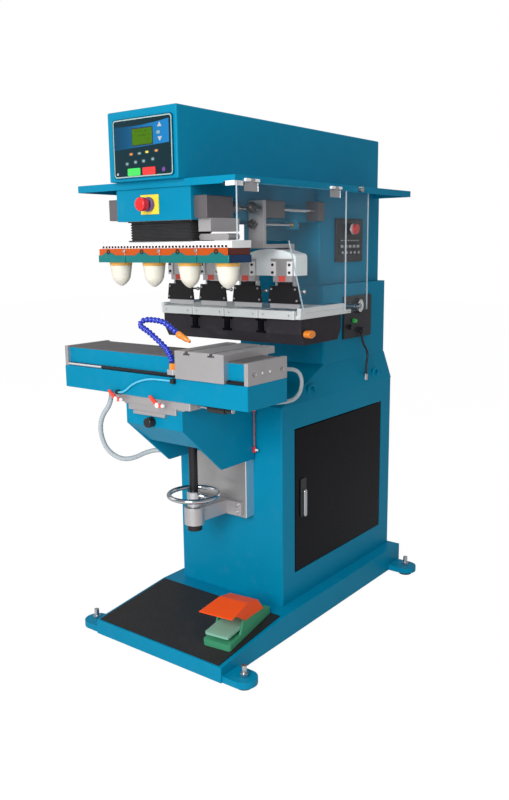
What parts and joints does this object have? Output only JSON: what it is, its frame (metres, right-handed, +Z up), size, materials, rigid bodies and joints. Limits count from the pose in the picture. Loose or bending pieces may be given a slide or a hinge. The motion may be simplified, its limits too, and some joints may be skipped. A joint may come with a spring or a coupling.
{
  "type": "pad printing machine",
  "caption": "Floor-standing pad printing machine with several pads, open ink trays, shuttle table, hand-cranked knee and foot pedal.",
  "frame": {"origin": "on the floor, in the middle of the bounding box", "axes": "+X to the operator's right, -Y toward the operator, +Z up"},
  "size_m": [0.726, 1.12, 1.62],
  "materials": {
    "teal_paint": "semi-gloss",
    "black_paint": "satin",
    "black_rubber": "matte, ribbed",
    "zinc_steel": "zinc plated",
    "ground_steel": "ground",
    "chrome": "polished",
    "controls": "moulded",
    "keypad": "printed film",
    "yellow_plastic": "moulded",
    "dark_panel": "satin",
    "clear_acrylic": "clear acrylic sheet",
    "aluminium": "milled, clear anodised",
    "grey_anodised": "dark anodised",
    "light_paint": "satin",
    "black_anodised": "black anodised",
    "orange_anodised": "anodised",
    "teal_anodised": "anodised",
    "silicone": "soft silicone, satin",
    "bellows_fabric": "coated fabric",
    "red_plastic": "moulded",
    "green_plastic": "moulded",
    "green_paint": "semi-gloss",
    "pale_green_paint": "semi-gloss",
    "orange_paint": "semi-gloss",
    "blue_plastic": "moulded",
    "tube_blue": "extruded",
    "grey_conduit": "corrugated",
    "black_plastic": "moulded",
    "orange_plastic": "moulded",
    "door_paint": "gloss black"
  },
  "bodies": {
    "machine": {"base_frame": "teal_paint", "levelling_feet": "zinc_steel", "floor_mat": "black_rubber", "cabinet_shell": "teal_paint", "control_equipment": "controls", "lower_column": "teal_paint", "upper_column": "teal_paint", "canopy_plate": "teal_paint", "hood_cover": "teal_paint", "arm_sides": "teal_paint", "arm_front_cover": "teal_paint", "guide_rails": "ground_steel", "guide_bearings": "grey_anodised", "keypad_panel": "keypad", "estop_bases": "yellow_plastic", "side_panels": "dark_panel", "rear_guard": "clear_acrylic", "tray_frame": "aluminium", "plate_holders": "aluminium", "ink_trough": "black_paint", "slideway_plate": "ground_steel", "pedal_base": "green_paint", "pedal_hood": "orange_paint", "side_cable": "black_plastic"},
    "door": {"cabinet_door": "door_paint"},
    "latch": {"latch_handle": "chrome"},
    "head": {"head_carriage": "aluminium", "bellows": "bellows_fabric"},
    "pad_lift": {"pad_plate": "aluminium", "pad_clamp_bar": "orange_anodised", "pad_holders": "teal_anodised", "pads": "silicone"},
    "doctor": {"doctor_hangers": "grey_anodised", "link_rod": "zinc_steel", "doctor_beam": "light_paint", "doctor_units": "aluminium"},
    "doctor_blades": {"blade_holders": "black_anodised"},
    "knee": {"knee_frame": "teal_paint", "knee_sides": "teal_paint", "left_conduit": "grey_conduit"},
    "screw": {"elevating_screw": "ground_steel", "handwheel": "chrome"},
    "lock_knob": {"knee_lock_knob": "black_plastic"},
    "shuttle": {"cross_plate": "aluminium", "shuttle_bed": "teal_paint", "rail_cover": "teal_paint", "right_conduit": "grey_conduit", "blue_air_tube": "tube_blue"},
    "cross_screw": {"cross_knob": "black_plastic"},
    "lever_left": {"clamp_lever_left": "red_plastic"},
    "lever_right": {"clamp_lever_right": "red_plastic"},
    "carriage": {"shuttle_carriage": "aluminium", "air_nozzle_hose": "blue_plastic"},
    "front_stop": {"estop_front": "red_plastic"},
    "side_stop": {"estop_side": "red_plastic"},
    "start_button": {"start_key": "green_plastic"},
    "stop_button": {"stop_key": "red_plastic"},
    "foot_treadle": {"treadle": "pale_green_paint"},
    "guard": {"front_guard": "clear_acrylic"},
    "tray_knob": {"trough_knob": "orange_plastic"}
  },
  "joints": [
    {"name": "door_hinge", "type": "hinge", "parent": "machine", "child": "door", "pos_m": [0.208, 0.449, 0.43], "axis": [0, 0, 1], "range_deg": [0, 100]},
    {"name": "latch_turn", "type": "hinge", "parent": "door", "child": "latch", "pos_m": [0.22, -0.066, 0.436], "axis": [-1, 0, 0], "range_deg": [0, 90]},
    {"name": "head_slide", "type": "slide", "parent": "machine", "child": "head", "axis": [0, 1, 0], "range_m": [0, 0.285]},
    {"name": "head_lift", "type": "slide", "parent": "head", "child": "pad_lift", "axis": [0, 0, 1], "range_m": [-0.075, 0], "deforming": ["bellows"]},
    {"name": "doctor_slide", "type": "slide", "parent": "machine", "child": "doctor", "axis": [0, 1, 0], "range_m": [0, 0.171]},
    {"name": "blade_swing", "type": "hinge", "parent": "doctor", "child": "doctor_blades", "pos_m": [0, -0.148, 1.133], "axis": [1, 0, 0], "range_deg": [0, 12]},
    {"name": "knee_lift", "type": "slide", "parent": "machine", "child": "knee", "axis": [0, 0, 1], "range_m": [-0.05, 0.03]},
    {"name": "handwheel_turn", "type": "hinge", "parent": "machine", "child": "screw", "pos_m": [0, -0.358, 0.482], "axis": [0, 0, 1], "range_deg": [-1800, 1080]},
    {"name": "knee_lock_turn", "type": "hinge", "parent": "knee", "child": "lock_knob", "pos_m": [-0.006, -0.537, 0.746], "axis": [0, -1, 0], "range_deg": [0, 90]},
    {"name": "cross_adjust", "type": "slide", "parent": "knee", "child": "shuttle", "axis": [1, 0, 0], "range_m": [-0.012, 0.012]},
    {"name": "cross_screw_turn", "type": "hinge", "parent": "shuttle", "child": "cross_screw", "pos_m": [0.2, -0.5, 0.8065], "axis": [1, 0, 0], "range_deg": [-1080, 1080]},
    {"name": "left_lever_turn", "type": "hinge", "parent": "shuttle", "child": "lever_left", "pos_m": [-0.125, -0.55, 0.806], "axis": [0, 1, 0], "range_deg": [-35, 35]},
    {"name": "right_lever_turn", "type": "hinge", "parent": "shuttle", "child": "lever_right", "pos_m": [0.045, -0.55, 0.806], "axis": [0, 1, 0], "range_deg": [-35, 35]},
    {"name": "carriage_slide", "type": "slide", "parent": "shuttle", "child": "carriage", "axis": [1, 0, 0], "range_m": [-0.43, 0.03]},
    {"name": "front_stop_press", "type": "slide", "parent": "machine", "child": "front_stop", "axis": [0, 1, 0], "range_m": [0, 0.005], "stiffness_N_per_m": 1500, "springref_m": -0.002},
    {"name": "side_stop_press", "type": "slide", "parent": "machine", "child": "side_stop", "axis": [-1, 0, 0], "range_m": [0, 0.005], "stiffness_N_per_m": 1500, "springref_m": -0.002},
    {"name": "start_press", "type": "slide", "parent": "machine", "child": "start_button", "axis": [0, 1, 0], "range_m": [0, 0.002], "stiffness_N_per_m": 800, "springref_m": -0.001},
    {"name": "stop_press", "type": "slide", "parent": "machine", "child": "stop_button", "axis": [0, 1, 0], "range_m": [0, 0.002], "stiffness_N_per_m": 800, "springref_m": -0.001},
    {"name": "treadle_press", "type": "hinge", "parent": "machine", "child": "foot_treadle", "pos_m": [0.16922, -0.28816, 0.12298], "axis": [0.9945, 0.1039, 0.0112], "range_deg": [0, 3.5], "stiffness_Nm_per_rad": 60, "springref_deg": -3.44},
    {"name": "guard_swing", "type": "hinge", "parent": "machine", "child": "guard", "pos_m": [0.308, -0.23, 1.419], "axis": [0, -1, 0], "range_deg": [0, 90]},
    {"name": "tray_knob_turn", "type": "hinge", "parent": "machine", "child": "tray_knob", "pos_m": [0.295, -0.151, 0.985], "axis": [1, 0, 0], "range_deg": [0, 90]}
  ],
  "couplings": [
    {"joint": "doctor_slide", "follows": "head_slide", "ratio": 0.6},
    {"joint": "knee_lift", "follows": "handwheel_turn", "m_per_rad": 0.0015915},
    {"joint": "cross_screw_turn", "follows": "cross_adjust", "rad_per_m": 1570.8}
  ]
}
